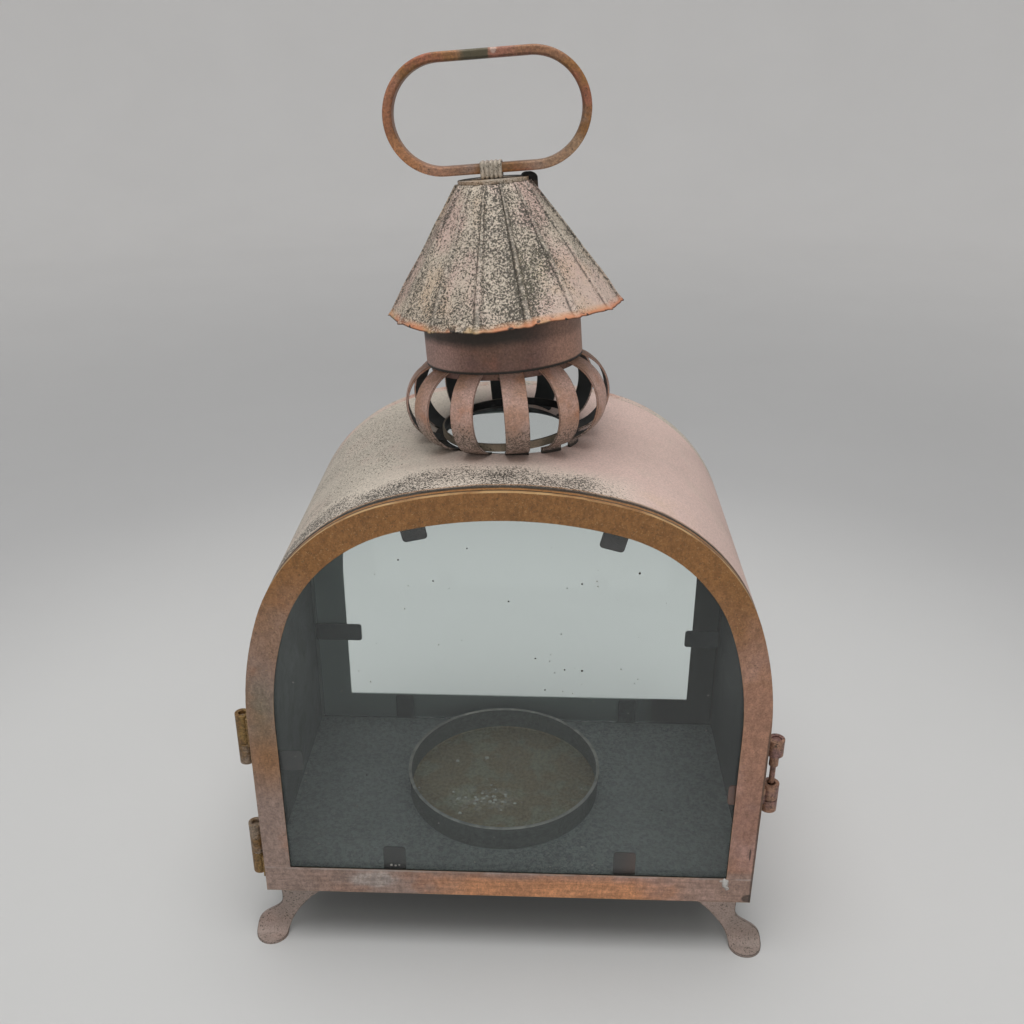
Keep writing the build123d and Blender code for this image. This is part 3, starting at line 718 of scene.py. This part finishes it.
def handle_paint():
    """Golden brown and red copper, rubbed dark along the edges, with painted shade on its inner faces,
    one stain and a pale spot on top.
    """
    coat = Coat("handle_paint", GOLD_BROWN)
    coat.round_off(0.0008)
    coat.lay(COPPER_RED, coat.blots(0.46, 0.66, 55, detail=4, seed=2))
    coat.lay(MAUVE_GREY, coat.blots(0.56, 0.7, 90, detail=4, seed=6), 0.6)
    reddish = coat.mix(0.5, COPPER, COPPER_RED)
    for tone, share, middle, radii, full in (
        (MAUVE, 0.35, (0.0, 0.009, 0.355), (0.034, 0.02, 0.008), 0.4),
        (reddish, 0.75, (-0.049, 0.007, 0.338), (0.012, 0.02, 0.026), 0.5),
        (COPPER_PALE, 0.75, (-0.036, 0.004, 0.317), (0.022, 0.02, 0.014), 0.6),
        (STRIP_ROSE, 0.35, (-0.024, 0.006, 0.314), (0.015, 0.02, 0.01), 0.5),
        (BEIGE_WARM, 0.45, (0.016, 0.004, 0.319), (0.02, 0.02, 0.012), 0.5),
    ):
        coat.lay(tone, coat.ramp(coat.patch(middle, radii), 0.0, full), share)
    coat.grime(3)
    coat.mottle(1100, 0.76, 1.2, 9)
    across = coat.plus(coat.axis("X"), coat.uneven(-0.001, 0.001, 300, seed=7))
    stain = coat.times(coat.ramp(across, -0.0215, -0.0175), coat.ramp(across, -0.0092, -0.01))
    stain = coat.times(stain, coat.ramp(coat.axis("Z"), 0.342, 0.345))
    coat.lay(SPECK_OLIVE, stain, 0.85)
    coat.lay(SPECK_BLACK, stain, 0.5)
    spot = coat.patch((-0.0078, 0.004, 0.3545), (0.0018, 0.008, 0.0024))
    coat.lay(PINK_DUSTY, coat.ramp(spot, 0.1, 0.5), 0.6)
    coat.lay(SPECK_BLACK, coat.speckle(1200, 0.25, seed=5), 0.7)
    # Painted shade on the faces that look towards the handle's middle
    inner = coat.inwards(HANDLE_MIDDLE, ROUND_Y)
    coat.lay(SPECK_BLACK, inner, 0.35)
    worn = coat.worn(0.36, 0.6, 120, seed=8)
    coat.lay(SPECK_DARK, worn, coat.spread(inner, 0.65, 0.9))
    return coat.surface(coat.uneven(0.36, 0.62, 160, seed=1), 0.2, coat.noise(600, detail=4), 0.00015)


def brass_paint(name, first, second, edge, seed):
    """Worn metal of the hinges and the latch, dark in its pits and rubbed along its edges."""
    coat = Coat(name, first)
    coat.round_off(0.0004)
    coat.lay(second, coat.blots(0.42, 0.6, 180, detail=4, seed=seed))
    coat.mottle(900, 0.66, 1.24, seed + 1)
    coat.lay(SPECK_BLACK, coat.speckle(1000, 0.34, seed=seed), 0.8)
    coat.lay(edge, coat.worn(0.36, 0.56, 300, seed=seed + 2), 0.6)
    return coat.surface(coat.uneven(0.38, 0.65, 260, seed=seed), 0.3, coat.noise(900), 0.00012)


def dark_paint(name, tint, shadow, dusty, rim_share, seed):
    """Primer of the pieces inside the case, dusty on top and rubbed along the rims."""
    coat = Coat(name, tint)
    coat.round_off(0.0005)
    coat.lay(shadow, coat.blots(0.4, 0.75, 40, detail=5, seed=seed))
    coat.grime(seed)
    coat.mottle(600, 0.78, 1.22, seed + 6)
    coat.lay(DUST_PALE, coat.towards(SKY), coat.speckle(1000, dusty, seed=seed), 0.3)
    coat.lay(DUST_PALE, coat.worn(0.3, 0.5, 200, seed=seed + 4), rim_share)
    return coat.surface(coat.uneven(0.5, 0.8, 140, seed=seed), 0.1, coat.noise(700, seed=seed))


def cup_paint():
    """Olive floor with pale old dust left of its middle, darker wall and a pale painted highlight along
    the hem.
    """
    coat = Coat("cup_primer", CUP_OLIVE)
    coat.round_off(0.0005)
    tarnish = coat.blots(0.38, 0.66, 70, detail=5, seed=13)
    coat.lay(GOLD_BROWN, tarnish)
    coat.lay(CUP_OLIVE, tarnish, 0.75)
    dusty = coat.patch((-0.014, -0.006, CUP_FLOOR), (0.024, 0.014, 0.004))
    dust = coat.times(coat.ramp(dusty, 0.0, 0.7), coat.blots(0.4, 0.6, 260, detail=4, seed=15))
    coat.lay(WAX_PALE, dust, 0.3)
    wall = coat.ramp(coat.axis("Z"), CUP_FLOOR + 0.0003, CUP_FLOOR + 0.001)
    outside = coat.ramp(coat.from_axis(CUP_MIDDLE, ROUND_Z), CUP_RADIUS - 0.0005, CUP_RADIUS - 0.0002)
    coat.lay(CUP_WALL, coat.most(wall, outside))
    coat.grime(13)
    coat.mottle(600, 0.8, 1.2, 19)
    # Painted highlight along the top of the hem
    hem = coat.ramp(coat.axis("Z"), CUP_FLOOR + 0.0106, CUP_FLOOR + 0.0108)
    rubbed = coat.spread(coat.blots(0.34, 0.6, 160, seed=17), 0.45, 0.95)
    coat.lay(DUST_PALE, hem, rubbed)
    return coat.surface(coat.uneven(0.5, 0.8, 140, seed=13), 0.1, coat.noise(700, seed=13))


def glass_finish():
    """Clear glass with faint smears."""
    coat = Coat("dusty_glass", GLASS_TINT)
    smear = coat.blots(0.45, 0.8, 14, detail=5, distortion=1.2, stretch=(1, 1, 2.5), seed=3)
    return coat.surface(coat.spread(smear, 0.0, 0.05), 0.0, coat.noise(18, detail=1), 0.00003,
                        Transmission_Weight=0.98, IOR=1.3)


def drop_finish(name, pale, dark, roughness, metallic):
    """Dust, wax and solder: two tones in fine grains."""
    coat = Coat(name, pale)
    coat.lay(dark, coat.blots(0.42, 0.62, 900))
    return coat.surface(coat.uneven(roughness - 0.1, roughness + 0.15, 700), metallic,
                        coat.noise(1500), 0.00015)


def stage_finish():
    """Pale paper with painted light: painted shade half way to the wall, painted light up the wall, and a
    painted shadow under the lantern.
    """
    coat = Coat("stage_paper_and_light", STAGE_NEAR)
    away = coat.vector("LENGTH", coat.vector("MULTIPLY", coat.place, (1.0, 1.0, 0.0)))
    # Painted light: darker half way to the wall, brighter up the wall
    coat.lay(STAGE_PAINTED_DIM, coat.ramp(away, 0.26, 0.52))
    coat.lay(STAGE_PAINTED_BRIGHT, coat.ramp(away, 0.55, 1.7))
    coat.shade(coat.noise(6), 0.97, 1.03)
    # Painted shadow on the floor under the lantern's footprint
    wide = coat.ramp(coat.math("ABSOLUTE", coat.axis("X")), 0.11, 0.08)
    deep = coat.ramp(coat.math("ABSOLUTE", coat.axis("Y")), 0.066, 0.036)
    coat.lay(STAGE_PAINTED_SHADOW, wide, deep)
    return coat.surface(0.75, 0.0, coat.noise(300), 0.00005)


def wear(names, material):
    """Give CAD nodes a finish."""
    for name in names:
        piece = nodes[name]
        piece.data.materials.clear()
        piece.data.materials.append(material)


def dress_nodes():
    """Finish every CAD node."""
    strips = [name for name in nodes if name.startswith("cage_strip_")]
    feet = [name for name in nodes if name.startswith("foot_")]
    ring = painted("ring_patina", (RING_OLIVE, RING_OLIVE, MAUVE_GREY), 0.28, SPECK_BLACK, 0.5,
                   chimney_inside, BLACK_SOOT_AND_SHADE, specks=SPECK_BLACK, seed=61)
    band = painted("band_patina", (COLLAR_MAUVE, COLLAR_BROWN, COLLAR_MAUVE), 0.36, SPECK_BLACK, 0.5,
                   chimney_inside, BLACK_SOOT_AND_SHADE, specks=SPECK_BLACK, seed=65)
    # Black edges on the feet: partly painted shadow along their right side and bottom, partly dark edges
    foot = painted("foot_patina", (FOOT_GREY, FOOT_ROSE, FOOT_GREY), 0.36, SPECK_BLACK, 0.95,
                   edge_width=0.001, seed=41)
    back = painted("back_patina", (BEIGE, PINK_DUSTY, ROSE), 0.3, GOLD_BROWN, 0.5,
                   inside_case, back_tint_and_shade, seed=51)
    tab = painted("door_tab_primer", (TAB_MAUVE, TAB_SHADE, TAB_SHADE), 0.3, SPECK_BLACK, 0.6,
                  right_tab, COPPER_RED, specks=SPECK_BLACK, seed=27)
    wear(["body_shell"], shell_paint())
    wear(["roof_top_plate", "roof_cone", "handle_staple"], plate_paint())
    wear(strips, strip_paint())
    wear(["cage_bottom_ring"], ring)
    wear(["cage_top_band"], band)
    wear(["chimney_collar"], collar_paint())
    wear(feet, foot)
    wear(["back_frame"], back)
    wear(["door_frame"], door_paint())
    wear(["handle"], handle_paint())
    wear(["floor_plate"], dark_paint("floor_primer", INSIDE_GREY, INSIDE_GREY, 0.4, 0.3, 3))
    wear(["candle_cup"], cup_paint())
    wear(["back_glass_tabs"], dark_paint("tab_primer", INSIDE_WALL, INSIDE_SOOT, 0.2, 0.2, 23))
    wear(["door_glass_tabs"], tab)
    wear(["roof_lug"], lug_paint())
    wear(["hinge_upper_door_leaf", "hinge_lower_door_leaf"],
         brass_paint("hinge_brass", BRASS_OLIVE, BRASS_BROWN, GOLD_PALE, 5))
    wear(["hinge_upper_case_leaf", "hinge_lower_case_leaf", "hinge_upper_pin", "hinge_lower_pin"],
         brass_paint("hinge_grey", BRASS_GREY, BRASS_BROWN, GOLD_PALE, 15))
    wear(["latch_upper_loop", "latch_door_loop", "latch_lower_loop", "latch_pin"],
         brass_paint("latch_copper", LATCH_ROSE, MAUVE, SPECK_BLACK, 25))
    wear(["back_glass", "door_glass"], glass_finish())
    clear = nodes["back_glass"].modifiers.new("clear_of_frame", "DISPLACE")
    clear.mid_level = 0.0
    clear.strength = -PANE_CLEARANCE


# Added pieces

def smooth_mesh(name, points, faces, material):
    """Object with a smooth mesh of its own, in the scene."""
    mesh = bpy.data.meshes.new(name)
    mesh.from_pydata(points, [], faces)
    mesh.polygons.foreach_set("use_smooth", [True] * len(mesh.polygons))
    mesh.materials.append(material)
    made = bpy.data.objects.new(name, mesh)
    bpy.context.scene.collection.objects.link(made)
    return made


def add_piece(name, points, faces, body, material, shares=None):
    """Piece that rides on a body; shares are values for its finish at each point."""
    piece = smooth_mesh(name, points, faces, material)
    for key, values in (shares or {}).items():
        piece.data.attributes.new(key, "FLOAT", "POINT").data.foreach_set("value", values)
    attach(piece, body)
    return piece


def spans(name):
    """Lowest and highest place of a node along the chimney's own directions."""
    places = [vertex.co for vertex in nodes[name].data.vertices]
    result = []
    for direction in (ACROSS, BACK, UP):
        along = [place.dot(direction) for place in places]
        result.append((min(along), max(along)))
    return result


def smooth_step(value, low, high):
    """0 at low and 1 at high, smooth between; low may be the larger one."""
    share = min(max((value - low) / (high - low), 0.0), 1.0)
    return share * share * (3 - 2 * share)


def ring_faces(first, second, count):
    """Faces between two closed rows of points."""
    faces = []
    for side in range(count):
        after = (side + 1) % count
        faces.append((first + side, first + after, second + after, second + side))
    return faces


def rim_middle():
    """Middle and reach of the cone's rim along the chimney's own directions."""
    places = [vertex.co for vertex in nodes["roof_cone"].data.vertices]
    lowest = min(place.dot(UP) for place in places)
    rim = [place for place in places if place.dot(UP) < lowest + ROOF_SHEET]
    middle = sum(rim, Vector()) / len(rim)
    reach = max((place - middle).length for place in rim)
    return Vector((middle.dot(ACROSS), middle.dot(BACK))), reach


def rim_droop(unit, row):
    """How far the rim hangs down at its bent places."""
    droop = 0.0
    for turn, depth in RIM_DROOPS:
        side = Vector((math.cos(math.radians(turn)), math.sin(math.radians(turn)), 0.0))
        droop += depth * smooth_step(unit.dot(side), DROOP_NARROWNESS, 1.0)
    return droop * smooth_step(row, DROOP_REACH, 0.0)


def roof_marks(unit, row, column, layer):
    """Shares that the roof's finish reads at one point."""
    aside = abs(column)
    line = smooth_step(aside, 0.05, 0.08) * smooth_step(aside, 0.12, 0.085)
    return {
        # Flute lines: painted shadow, stronger on one side, and painted highlight on the crest
        "flute_shadow_line": line if column < 0 else 0.45 * line,
        "flute_side": smooth_step(aside, 0.34, 0.1),
        "flute_highlight_line": smooth_step(aside, 0.06, 0.02),
        "rim": smooth_step(row, 0.05 + 0.035 * noise.noise(unit * 5), 0.008),
        "rim_shadow_line": smooth_step(row, 0.014, 0.0),
        "under": float(layer),
    }


def roof_bump(unit, row, column, strong):
    """How far the sheet stands out of the plain cone, and up from it, at one point."""
    aside = abs(column)
    raised = FLUTE_RISE * strong * smooth_step(aside, FLUTE_FOOT, FLUTE_CREST)
    sunk = PANEL_SAG * smooth_step(aside, FLUTE_FOOT, 0.5) * (1 - 0.6 * row)
    dent = PANEL_DENT * noise.noise(unit * 6 + Vector((0, 0, row * 5)))
    curl = RIM_CURL * smooth_step(row, 0.05, 0.0)
    wave = RIM_WAVE * noise.noise(unit * 9) - FLUTE_DIP * smooth_step(aside, FLUTE_FOOT, 0.0)
    wave *= smooth_step(row, 0.12, 0.0)
    return raised - sunk + dent + curl, wave - rim_droop(unit, row)


def make_roof():
    """Sheet cone of sagging panels between crimped flutes, with a wavy rim."""
    plate = spans("roof_top_plate")
    rim_height, top_height = spans("roof_cone")[2]
    rim_height += RIM_LIFT
    rim_place, rim_reach = rim_middle()
    top_place = Vector((sum(plate[0]) / 2, sum(plate[1]) / 2))
    rim_radius = rim_reach - FLUTE_RISE
    top_radius = (plate[0][1] - plate[0][0]) / 2
    columns = sorted({-column for column in ROOF_COLUMNS} | set(ROOF_COLUMNS) | {0.5})
    points, marks = [], []
    for layer, row, flute in itertools.product((0, 1), ROOF_ROWS, range(FLUTES)):
        radius = rim_radius + (top_radius - rim_radius) * row - ROOF_SHEET * layer
        middle = rim_place.lerp(top_place, row)
        turn = math.radians(FLUTE_TURN + 360 / FLUTES * flute)
        strong = 0.85 + 0.3 * noise.noise((flute * 1.7, row * 2.0, 4.0))
        sway = FLUTE_WOBBLE * noise.noise((flute * 2.3, row * 3.0, 9.0))
        for column in columns:
            angle = turn + 2 * math.pi / FLUTES * column + sway * (1 - 2 * abs(column))
            unit = Vector((math.cos(angle), math.sin(angle), 0.0))
            out, up = roof_bump(unit, row, column, strong)
            out += radius
            height = rim_height + up + (top_height - rim_height) * row
            place = ACROSS * (middle.x + out * unit.x) + BACK * (middle.y + out * unit.y)
            points.append(place + UP * height)
            marks.append(roof_marks(unit, row, column, layer))
    count = FLUTES * len(columns)
    inner = count * len(ROOF_ROWS)
    faces = []
    for low in range(0, inner - count, count):
        faces += ring_faces(low, low + count, count)
        faces += ring_faces(inner + low + count, inner + low, count)
    faces += ring_faces(inner, 0, count)
    faces += ring_faces(inner - count, 2 * inner - count, count)
    shares = {key: [mark[key] for mark in marks] for key in marks[0]}
    roof = add_piece("roof_sheet", points, faces, "case", roof_paint(), shares)
    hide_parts("roof_cone")


def rounded_loop(half_wide, half_high, corner, steps=5):
    """Points round a rectangle with rounded corners, counter-clockwise."""
    loop = []
    for quarter, (side_x, side_y) in enumerate(((1, 1), (-1, 1), (-1, -1), (1, -1))):
        for step in range(steps + 1):
            turn = math.pi / 2 * (quarter + step / steps)
            loop.append((side_x * (half_wide - corner) + corner * math.cos(turn),
                         side_y * (half_high - corner) + corner * math.sin(turn)))
    return loop


def make_staple():
    """Crimped strap round the handle's lower bar, ridged from side to side."""
    (left, right), (near, far), (low, high) = spans("handle_staple")
    middle_y, middle_z = (near + far) / 2, (low + high) / 2
    half_y, half_z = (far - near) / 2, (high - low) / 2
    stations = STAPLE_RIDGES * RIDGE_STATIONS
    inner = rounded_loop(half_y - STAPLE_SHEET, half_z - STAPLE_SHEET, STAPLE_CORNER / 2)
    sections = []
    for station in range(stations + 1):
        share = station / stations
        crimp = RIDGE_DEPTH * (0.5 + 0.5 * math.cos(2 * math.pi * STAPLE_RIDGES * share))
        outer = rounded_loop(half_y - crimp, half_z - crimp * 0.8, STAPLE_CORNER)
        sections.append((left + (right - left) * share, outer))
    loops = [(left, inner)] + sections + [(right, inner)]
    points, valley = [], []
    for along, loop in loops:
        crimp_wave = 0.5 + 0.5 * math.cos(2 * math.pi * STAPLE_RIDGES * (along - left) / (right - left))
        for across, height in loop:
            points.append(ACROSS * along + BACK * (middle_y + across) + UP * (middle_z + height))
            valley.append(smooth_step(crimp_wave, 0.3, 0.95))
    count = len(inner)
    faces = []
    for number in range(len(loops)):
        faces += ring_faces(number * count, (number + 1) % len(loops) * count, count)
    finish = painted("staple_patina", (BEIGE, ROOF_BEIGE, PINK_DUSTY), 0.42, SPECK_BLACK, 0.4,
                     darker_valleys, SPECK_DARK, seed=81)
    staple = add_piece("staple_strap", points, faces, "case", finish, {"valley": valley})
    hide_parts("handle_staple")


def dome(points, faces, place, normal, radii, height, seed):
    """Add one uneven drop that sits on a face and dips a little into it."""
    place, other, start = Vector(place), normal.cross(RIGHT), len(points)
    for ring in range(DROP_RINGS):
        share = 1 - ring / DROP_RINGS
        for side in range(DROP_SIDES):
            turn = 2 * math.pi * side / DROP_SIDES
            ragged = noise.noise((math.cos(turn) * 1.5 + seed, math.sin(turn) * 1.5, ring * 0.5))
            reach = share * (1 + 0.35 * ragged)
            lift = height * (1 - share * share) * (1 + 0.4 * noise.noise((turn, ring * 0.8, seed)))
            sideways = RIGHT * (radii[0] * reach * math.cos(turn))
            upwards = other * (radii[1] * reach * math.sin(turn))
            points.append(place + sideways + upwards + normal * (lift - DROP_DIP))
    points.append(place + normal * height)
    points.append(place - normal * DROP_ROOT)
    last = start + (DROP_RINGS - 1) * DROP_SIDES
    for ring in range(start, last, DROP_SIDES):
        faces += ring_faces(ring, ring + DROP_SIDES, DROP_SIDES)
    top, bottom = last + DROP_SIDES, last + DROP_SIDES + 1
    for side in range(DROP_SIDES):
        after = (side + 1) % DROP_SIDES
        faces.append((last + side, last + after, top))
        faces.append((start + after, start + side, bottom))


def scatter(name, spots, normal, body, material):
    """Small drops that lie on one face; each spot is a place and a radius."""
    points, faces = [], []
    for number, (place, radius) in enumerate(spots):
        dome(points, faces, place, normal, (radius, radius), radius * DROP_THICKNESS, number * 1.3)
    add_piece(name, points, faces, body, material)


def on_pane(marks, face):
    """Spots for marks that are given as across, height and radius."""
    return [((across, face, height), radius) for across, height, radius in marks]


def make_solder():
    """Solder at the door's lower right corner, and crumbs on its pane above the rail."""
    bright = drop_finish("bright_solder", SOLDER, GREY_PALE, 0.4, 0.5)
    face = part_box("door_frame")[0][1]
    points, faces = [], []
    for number, (across, height, half_wide, half_high, thick) in enumerate(SOLDER_DROPS):
        dome(points, faces, (across, face, height), FRONT, (half_wide, half_high), thick, number + 1)
    add_piece("door_corner_solder", points, faces, "door", bright)
    crumbs = on_pane(PANE_CRUMBS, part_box("door_glass")[0][1])
    scatter("door_pane_crumbs", crumbs, FRONT, "door", bright)


def inside_arch(across, height):
    """Whether a point lies inside the door's arched window."""
    if height < WINDOW_SPRING:
        return abs(across) < WINDOW_HALF
    return (across / WINDOW_HALF) ** 2 + ((height - WINDOW_SPRING) / WINDOW_RISE) ** 2 < 1


def make_dust():
    """Specks on the panes: pale dust low on the door's pane, dark dots on both."""
    chance = random.Random(5)
    door_face, back_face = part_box("door_glass")[0][1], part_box("back_glass")[0][1]
    pale, back = [], []
    while len(pale) < DUST_COUNT:
        across, height = chance.uniform(-WINDOW_HALF, WINDOW_HALF), 0.045 + 0.14 * chance.random() ** 1.6
        if inside_arch(across, height):
            pale.append((across, height, chance.uniform(0.00012, 0.0003)))
    while len(back) < BACK_DOT_COUNT:
        across, height = chance.uniform(-0.075, 0.075), chance.uniform(0.055, 0.185)
        if inside_arch(across, height):
            back.append((across, height, chance.uniform(0.0002, 0.0004)))
    dust = drop_finish("pale_dust", DUST_PALE, GREY_PALE, 0.8, 0.0)
    dots = drop_finish("dark_dots", SPECK_DARK, SPECK_BLACK, 0.7, 0.0)
    scatter("door_pane_dust", on_pane(pale, door_face), FRONT, "door", dust)
    scatter("door_pane_dots", on_pane(PANE_DOTS, door_face), FRONT, "door", dots)
    scatter("back_pane_dots", on_pane(back, back_face), FRONT, "case", dots)


def make_wax():
    """Old wax on the floor of the cup, left of its middle."""
    chance = random.Random(8)
    spots = [((across, deep, CUP_FLOOR), radius) for across, deep, radius in WAX_DROPS]
    while len(spots) < WAX_COUNT:
        across, deep = chance.gauss(-0.013, 0.008), chance.gauss(-0.006, 0.004)
        if math.hypot(across - CUP_MIDDLE[0], deep - CUP_MIDDLE[1]) < WAX_REACH:
            spots.append(((across, deep, CUP_FLOOR), chance.uniform(0.0005, 0.0011)))
    wax = drop_finish("old_wax", WAX_PALE, DUST_PALE, 0.5, 0.0)
    scatter("cup_wax", spots, SKY, "case", wax)


# Stage, light and camera

def make_stage():
    """Round floor that sweeps up into a wall, seamless from every side."""
    profile = [(STAGE_FLAT, 0.0)]
    for step in range(1, STAGE_STEPS + 1):
        turn = math.pi / 2 * step / STAGE_STEPS
        profile.append((STAGE_FLAT + STAGE_BEND * math.sin(turn), STAGE_BEND * (1 - math.cos(turn))))
    profile.append((STAGE_FLAT + STAGE_BEND, STAGE_BEND + STAGE_WALL))
    points = []
    for radius, height in profile:
        for side in range(STAGE_SIDES):
            angle = 2 * math.pi * side / STAGE_SIDES
            points.append((radius * math.cos(angle), radius * math.sin(angle), height))
    faces = [tuple(range(STAGE_SIDES))]
    for low in range(0, len(points) - STAGE_SIDES, STAGE_SIDES):
        faces += ring_faces(low + STAGE_SIDES, low, STAGE_SIDES)
    stage = smooth_mesh("stage_sweep", points, faces, stage_finish())


def add_light(name, place, size, power):
    lamp = bpy.data.lights.new(name, "AREA")
    lamp.shape = "DISK"
    lamp.size = size
    lamp.energy = power
    holder = bpy.data.objects.new(name, lamp)
    holder.location = place
    holder.rotation_euler = (Vector(LIT_MIDDLE) - Vector(place)).to_track_quat("-Z", "Y").to_euler()
    bpy.context.scene.collection.objects.link(holder)


def make_lights():
    add_light("key_above", KEY_PLACE, KEY_SIZE, KEY_POWER)
    add_light("fill_front", FILL_PLACE, FILL_SIZE, FILL_POWER)
    world = bpy.data.worlds.new("studio")
    world.use_nodes = True
    background = world.node_tree.nodes["Background"]
    background.inputs["Color"].default_value = (1.0, 1.0, 1.0, 1.0)
    background.inputs["Strength"].default_value = WORLD_STRENGTH
    bpy.context.scene.world = world
    bpy.context.scene.view_settings.view_transform = "Standard"


def make_camera():
    data = bpy.data.cameras.new("camera")
    data.lens = CAMERA_LENS
    data.sensor_width = CAMERA_SENSOR
    data.clip_start = CAMERA_NEAREST
    camera = bpy.data.objects.new("camera", data)
    camera.location = CAMERA_PLACE
    level = Euler((math.radians(90 - CAMERA_PITCH), 0.0, math.radians(CAMERA_YAW)), "XYZ").to_matrix()
    roll = Euler((0.0, 0.0, math.radians(CAMERA_ROLL)), "XYZ").to_matrix()
    camera.rotation_euler = (level @ roll).to_euler()
    bpy.context.scene.collection.objects.link(camera)
    bpy.context.scene.camera = camera


dress_nodes()
make_roof()
make_staple()
make_solder()
make_dust()
make_wax()
make_stage()
make_lights()
make_camera()
